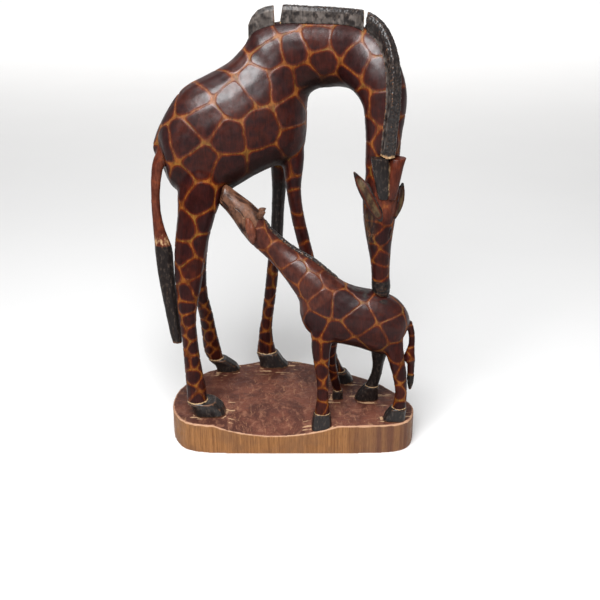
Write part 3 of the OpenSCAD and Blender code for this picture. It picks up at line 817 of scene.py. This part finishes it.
def fine_piece(name, voxel, host, sigma):
    """A small feature with crisp borders, and how far it is in or at the host's skin (its foot)."""
    skin = Skin([name], voxel)
    skin.smooth_facets(np.full(len(skin.v), sigma))
    skin.gap = nearest(host, skin.v)[1]
    skin.foot = skin.relax(1 - step(0.15, 0.6, skin.gap), 2)
    for key in ("tone", "underside_shade", "dark", "raw", "warm", "inner"):
        skin.paint[key] = np.zeros(len(skin.v))
    skin.paint["edge"] = np.full(len(skin.v), 3.0)
    skin.paint["polish"] = np.full(len(skin.v), 0.7 if name.endswith("_mane") else 0.25)
    return skin


def close_piece(skin, host, sink=0.8):
    """Sinks the foot into the host's skin, and makes the object."""
    skin.paint["shape"] = skin.shape(5)
    skin.v = skin.v - nearest(host, skin.v)[2] * (skin.foot * sink)[:, None]
    name = skin.names[0]
    paint = {key: np.clip(values, -1, 6) for key, values in skin.paint.items()}
    piece = make_mesh(name, skin.v, skin.q.tolist(), skin.normals(), paint)
    return finish_piece(piece, materials[slots[name]], name)


# Where the mother's neck bends down: the middle of the bend, and its radius at the mane
NECK_BEND = at(45, 0, 225)
BEND_RADIUS = 38


def across_mane(p):
    """0 at the mane's inner edge and 1 at its outer edge, along the bend of the neck and down it."""
    slice_length = 3
    x, z = p[:, 0] - NECK_BEND[0], p[:, 2] - NECK_BEND[2]
    out = np.where(z > 0, np.hypot(x, z), x)
    run = np.where(z > 0, np.arctan2(z, x) * BEND_RADIUS, z)
    bins = np.floor((run - run.min()) / slice_length).astype(int)
    low, high = np.full(bins.max() + 1, 1e9), np.full(bins.max() + 1, -1e9)
    np.minimum.at(low, bins, out)
    np.maximum.at(high, bins, out)
    return (out - low[bins]) / np.maximum(high - low, 1)[bins]


def stipple(p):
    """Small punched marks."""
    return lattice_noise(p, 0.9, 51) + 0.6 * lattice_noise(p, 1.7, 52)


def paint_mane(skin):
    """Punched marks on the crown, a smoother wall left partly grey as painted highlight, and bare wood at
    the cut ends.
    """
    p, name, free = skin.v, skin.names[0], 1 - skin.foot
    crown = np.ones(len(p))
    if name == "neck_mane":
        crown = step(0.22, 0.4, across_mane(p))
        skin.push(-1.6 * (1 - step(0.0, 0.55, across_mane(p))) * free)
    elif name == "withers_mane":
        crown = np.full(len(p), 0.1)
    elif name == "crest_mane":
        crown = step(0.35, 0.75, skin.normals()[:, 2])
    skin.push(0.24 * stipple(p) * free * crown)
    mottle = step(-0.5, 0.9, lattice_noise(p, 3.2, 54) + 0.6 * lattice_noise(p, 1.2, 55))
    # The walls stay partly grey: painted highlight along the mane's sides
    wall = {"neck_mane": 0.5, "withers_mane": 0.35}.get(name, 0.45)
    skin.paint["dark"] = crown + (1 - crown) * (wall + 0.35 * mottle)
    if name == "calf_mane":
        return
    z, x = p[:, 2], p[:, 0]
    ends = [x.max() - x] if name == "withers_mane" else [z - z.min()]
    if name == "crest_mane":
        ends = [x - x.min(), x.max() - x]
    bare = 0.75 * sum(hollow(gap, 0.8) for gap in ends)
    if name == "neck_mane":
        bare = hollow(z - z.min(), 2.8)
    if name == "crest_mane":
        bare = bare + 0.55 * hollow(skin.gap - 0.9, 0.5) * free
    skin.paint["raw"] = np.clip(0.85 * bare, 0, 1)


def cup_ear(skin, face, depth, width):
    """Hollows an ear along its middle on the side that it opens to."""
    face = np.asarray(face, float) / np.linalg.norm(face)
    low, high = skin.v[:, 2].min(), skin.v[:, 2].max()
    fold = [spot_on(skin.v, low + share * (high - low), face) for share in (0.15, 0.5, 0.85)]
    gap = line_gap(skin.v, fold)
    facing = step(0.1, 0.5, skin.normals() @ face)
    cup = hollow(gap, width) * facing
    skin.push(-depth * cup)
    skin.paint["inner"] = 0.85 * step(0.35, 0.75, cup)
    skin.paint["dark"] = 0.75 * (1 - step(0.15, 0.5, cup))


def dress(skin):
    """The carving and paint that belong to one small feature."""
    name, p, free = skin.names[0], skin.v, 1 - skin.foot
    if name.endswith("_mane"):
        paint_mane(skin)
    elif name == "mother_left_ear":
        cup_ear(skin, (0, -1, 0), 1.3, 3.0)
    elif name == "mother_right_ear":
        cup_ear(skin, (0.25, -1, 0), 0.9, 2.0)
    elif name.endswith("_horn"):
        between = (box_mm("mother_left_horn")[1][0] + box_mm("mother_right_horn")[0][0]) / 2
        # Painted highlight: a pale bare-wood line down the ridge between the horns
        ridge_highlight = hollow(p[:, 0] - between, 0.9) * step(-34, -37, p[:, 1])
        skin.paint["raw"] = 0.62 * ridge_highlight * step(162 + TOP, 168 + TOP, p[:, 2])
        skin.paint["dark"] += 0.9 if "left" in name else 0.0
        skin.paint["warm"] += 0.0 if "left" in name else 0.15
    elif name.startswith("calf") and name.endswith("_ear"):
        skin.paint["warm"] += 0.7
        skin.paint["raw"] = 0.3 * hollow(skin.gap - 1.6, 0.6)
        skin.push(-0.35 * hollow(p[:, 0] - (p[:, 0].min() + p[:, 0].max()) / 2, 0.8) * free)


mother_tree = tree_of(mother)
calf_tree = tree_of(calf)
for name in fine_nodes:
    host = calf_tree if name.startswith("calf") else mother_tree
    fine = fine_piece(name, MANE_VOXEL if name.endswith("_mane") else SMALL_VOXEL, host, 0.5)
    dress(fine)
    close_piece(fine, host)

# ------------------------------------------------------------------ the plinth

plinth = Skin(["plinth"], PLINTH_VOXEL)
plinth.smooth_facets(np.full(len(plinth.v), 0.7))
normal = plinth.normals()
p = plinth.v
stain = plinth.relax(step(0.45, 0.7, normal[:, 2]), 3)
is_top = step(0.2, 0.8, normal[:, 2])
hooves = kdtree.KDTree(sum(int(s.is_in("hoof").sum()) for s in (mother, calf)))
for s in (mother, calf):
    for i, spot in enumerate(s.v[s.is_in("hoof") > 0].tolist()):
        hooves.insert(spot, i)
hooves.balance()
near_hoof = np.array([hooves.find(spot)[2] for spot in p.tolist()])

scratch = lattice_noise(p, (11.0, 1.3, 11.0), 64) + 0.4 * lattice_noise(p, (4.0, 0.9, 4.0), 65)
scratch = step(0.35, 0.7, scratch)
lift = 0.16 * rough_noise(p, (9.0, 4.0, 9.0), 61) * is_top - 0.12 * scratch * is_top
lift += 0.05 * rough_noise(p, (1.0, 1.0, 30.0), 62) * (1 - np.abs(normal[:, 2]))
plinth.push(lift)
plinth.v[:, 2] = np.maximum(plinth.v[:, 2], 0)
rim = step(0, 1, 0.5 + 0.5 * rough_noise(p, 8.0, 63)) * step(-6, 0, p[:, 1] - 25 + 0.012 * p[:, 0] ** 2)
broken = step(-0.3, 0.5, lattice_noise(p, 3.5, 66))
patchy = step(0.15, 0.6, rough_noise(p, (9.0, 5.0, 9.0), 67))
raw = 0.7 * broken * hollow(near_hoof - 1.2, 0.9) + (0.5 * scratch + 0.5 * patchy) * step(17, 4, near_hoof)
raw += 0.22 * scratch
raw = raw * is_top + 0.75 * 4 * stain * (1 - stain) * step(-30, -38, p[:, 1])
plinth.paint = {
    "stain": stain, "raw": np.clip(raw, 0, 1), "rim": rim * stain * 0.8,
    "right": step(30, 60, p[:, 0]) * 0.8, "shape": plinth.shape(),
}
piece = make_mesh("plinth_block", plinth.v, plinth.q.tolist(), plinth.normals(), plinth.paint)
finish_piece(piece, materials["plinth_wood"], "plinth")

# ------------------------------------------------------------------ stage, lights and camera


def wall_material(name, colour):
    g = Graph(name)
    shade = g.mix(g.noise(120, 2), colour, [c - 3 for c in colour])
    return g.output(shade, 0.8, g.noise(3, 2), 0.02, specular=0.2)


def make_floor():
    half, depth = 2.5, 3.0
    mesh = bpy.data.meshes.new("floor")
    corners = [(-half, -depth, 0), (half, -depth, 0), (half, depth, 0), (-half, depth, 0)]
    mesh.from_pydata(corners, [], [(0, 1, 2, 3)])
    floor = bpy.data.objects.new("floor", mesh)
    bpy.context.scene.collection.objects.link(floor)
    mesh.materials.append(wall_material("pale_floor", (236, 235, 234)))


def aim(thing, target):
    thing.rotation_euler = (Vector(target) - thing.location).to_track_quat("-Z", "Y").to_euler()


def add_light(name, place, target, size, power, colour=(1, 1, 1)):
    light = bpy.data.lights.new(name, "AREA")
    light.shape = "RECTANGLE"
    light.size, light.size_y = size
    light.energy = power
    light.color = colour
    lamp = bpy.data.objects.new(name, light)
    lamp.location = place
    bpy.context.scene.collection.objects.link(lamp)
    aim(lamp, target)


def add_sun(name, azimuth, elevation, spread, strength):
    """A soft far light. Azimuth 0 comes from the camera's side, and 90 from the right."""
    light = bpy.data.lights.new(name, "SUN")
    light.angle = math.radians(spread)
    light.energy = strength
    lamp = bpy.data.objects.new(name, light)
    a, e = math.radians(azimuth), math.radians(elevation)
    lamp.location = (math.sin(a) * math.cos(e), -math.cos(a) * math.cos(e), math.sin(e))
    bpy.context.scene.collection.objects.link(lamp)
    aim(lamp, (0, 0, 0))


make_floor()
HALF_WAY_UP = (0.0, 0.0, 0.14)
add_light("softbox", (-0.1, -0.46, 0.86), HALF_WAY_UP, (0.55, 0.55), 14, (0.97, 0.985, 1.0))
add_light("backdrop", (0.0, 1.9, 1.1), (0.0, 2.2, 0.0), (3.2, 1.6), 34)
add_sun("key", -30, 60, 40, 0.25)
add_sun("fill", 40, 30, 60, 0.08)

world = bpy.data.worlds.new("studio")
world.use_nodes = True
world.node_tree.nodes["Background"].inputs["Color"].default_value = (1, 1, 1, 1)
world.node_tree.nodes["Background"].inputs["Strength"].default_value = 0.2
bpy.context.scene.world = world
bpy.context.scene.view_settings.view_transform = "Standard"

CAMERA_PLACE = (0.0055, -0.6595, 0.405)
CAMERA_TARGET = (0.0055, 0.0005, 0.098)
SENSOR_MM = 36.0
LENS_MM = 60.6
camera_data = bpy.data.cameras.new("camera")
camera_data.sensor_width = SENSOR_MM
camera_data.lens = LENS_MM
camera = bpy.data.objects.new("camera", camera_data)
camera.location = CAMERA_PLACE
bpy.context.scene.collection.objects.link(camera)
aim(camera, CAMERA_TARGET)
bpy.context.scene.camera = camera
